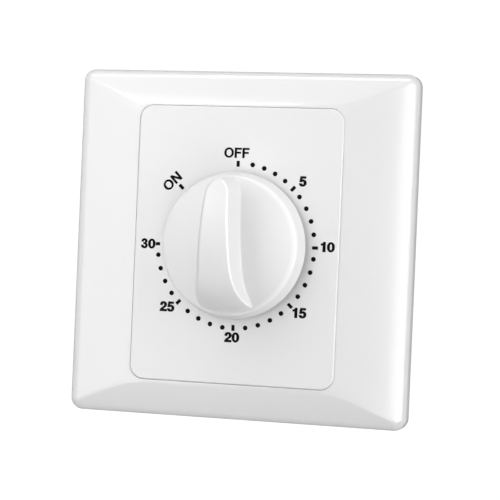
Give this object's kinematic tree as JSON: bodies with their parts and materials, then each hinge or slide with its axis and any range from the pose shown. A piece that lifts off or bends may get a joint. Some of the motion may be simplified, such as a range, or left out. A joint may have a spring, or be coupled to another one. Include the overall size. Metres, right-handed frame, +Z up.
{
  "type": "timer light switch",
  "caption": "Square wall switch with a run-down timer knob: clip-on frame, dial panel, wedge grip knob, clockwork movement and cam switch in a wall-box case.",
  "frame": {"origin": "on the wall plane, midway between the wall screws, on the knob's axis", "axes": "+X right seen from the front, +Y into the wall, +Z up"},
  "size_m": [0.086, 0.0581, 0.086],
  "materials": {
    "frame_plastic": "moulded glossy white plastic",
    "panel_plastic": "satin white plastic, printed dial",
    "knob_plastic": "moulded glossy white plastic",
    "base_plastic": "matte off-white plastic",
    "case_plastic": "matte light grey plastic",
    "cam_nylon": "natural nylon",
    "zinc_steel": "bright zinc plate",
    "plate_steel": "zinc-plated sheet",
    "turned_steel": "turned bright steel",
    "spring_steel": "blued spring steel",
    "wheel_brass": "stamped brass",
    "terminal_brass": "drawn brass",
    "contact_bronze": "rolled phosphor bronze"
  },
  "bodies": {
    "housing": {"outer_frame": "frame_plastic", "center_panel": "panel_plastic", "base_plate": "base_plastic", "rear_case": "case_plastic", "case_screws": "zinc_steel", "movement_screws": "zinc_steel", "front_plate": "plate_steel", "back_plate": "plate_steel", "plate_pillars": "turned_steel", "pillar_screws": "zinc_steel", "shaft_bush": "wheel_brass", "spring_post": "turned_steel", "mainspring": "spring_steel", "line_terminal": "terminal_brass", "load_terminal": "terminal_brass", "terminal_screws": "zinc_steel", "fixed_contact": "contact_bronze", "moving_contact": "contact_bronze"},
    "knob_shaft": {"knob": "knob_plastic", "knob_spring": "spring_steel", "control_shaft": "turned_steel", "stop_washer": "turned_steel", "friction_clutch": "spring_steel", "switch_cam": "cam_nylon", "cam_circlip": "spring_steel"},
    "great_wheel_body": {"great_wheel": "wheel_brass"},
    "second_arbor": {"second_pinion": "turned_steel", "second_wheel": "wheel_brass"},
    "third_arbor": {"third_pinion": "turned_steel", "third_wheel": "wheel_brass"},
    "escape_arbor": {"escape_pinion": "turned_steel", "escape_wheel": "wheel_brass"},
    "pallet_arbor_body": {"pallet_arbor": "turned_steel", "pallet_lever": "wheel_brass", "pallet_pins": "turned_steel", "balance_bar": "wheel_brass"}
  },
  "joints": [
    {"name": "knob_turn", "type": "hinge", "parent": "housing", "child": "knob_shaft", "pos_m": [0, 0, 0], "axis": [0, 1, 0], "range_deg": [-45, 270], "deforming": ["mainspring", "moving_contact"]},
    {"name": "great_wheel_turn", "type": "hinge", "parent": "housing", "child": "great_wheel_body", "pos_m": [0, 0, 0], "axis": [0, 1, 0], "range_deg": [-45, 270]},
    {"name": "second_arbor_turn", "type": "hinge", "parent": "housing", "child": "second_arbor", "pos_m": [0.00799, 0, 0.011], "axis": [0, 1, 0], "range_deg": [-2025, 337.5]},
    {"name": "third_arbor_turn", "type": "hinge", "parent": "housing", "child": "third_arbor", "pos_m": [0.01351, 0, -0.0001], "axis": [0, 1, 0], "range_deg": [-2278.12, 13668.75]},
    {"name": "escape_arbor_turn", "type": "hinge", "parent": "housing", "child": "escape_arbor", "pos_m": [0.01021, 0, -0.00912], "axis": [0, 1, 0], "range_deg": [-68343.75, 11390.62]},
    {"name": "pallet_swing", "type": "hinge", "parent": "housing", "child": "pallet_arbor_body", "pos_m": [0.00541, 0, -0.01272], "axis": [0, 1, 0], "range_deg": [-6, 6]}
  ],
  "couplings": [
    {"joint": "great_wheel_turn", "follows": "knob_turn", "ratio": 1},
    {"joint": "second_arbor_turn", "follows": "knob_turn", "ratio": -7.5},
    {"joint": "third_arbor_turn", "follows": "knob_turn", "ratio": 50.625},
    {"joint": "escape_arbor_turn", "follows": "knob_turn", "ratio": -253.12}
  ]
}
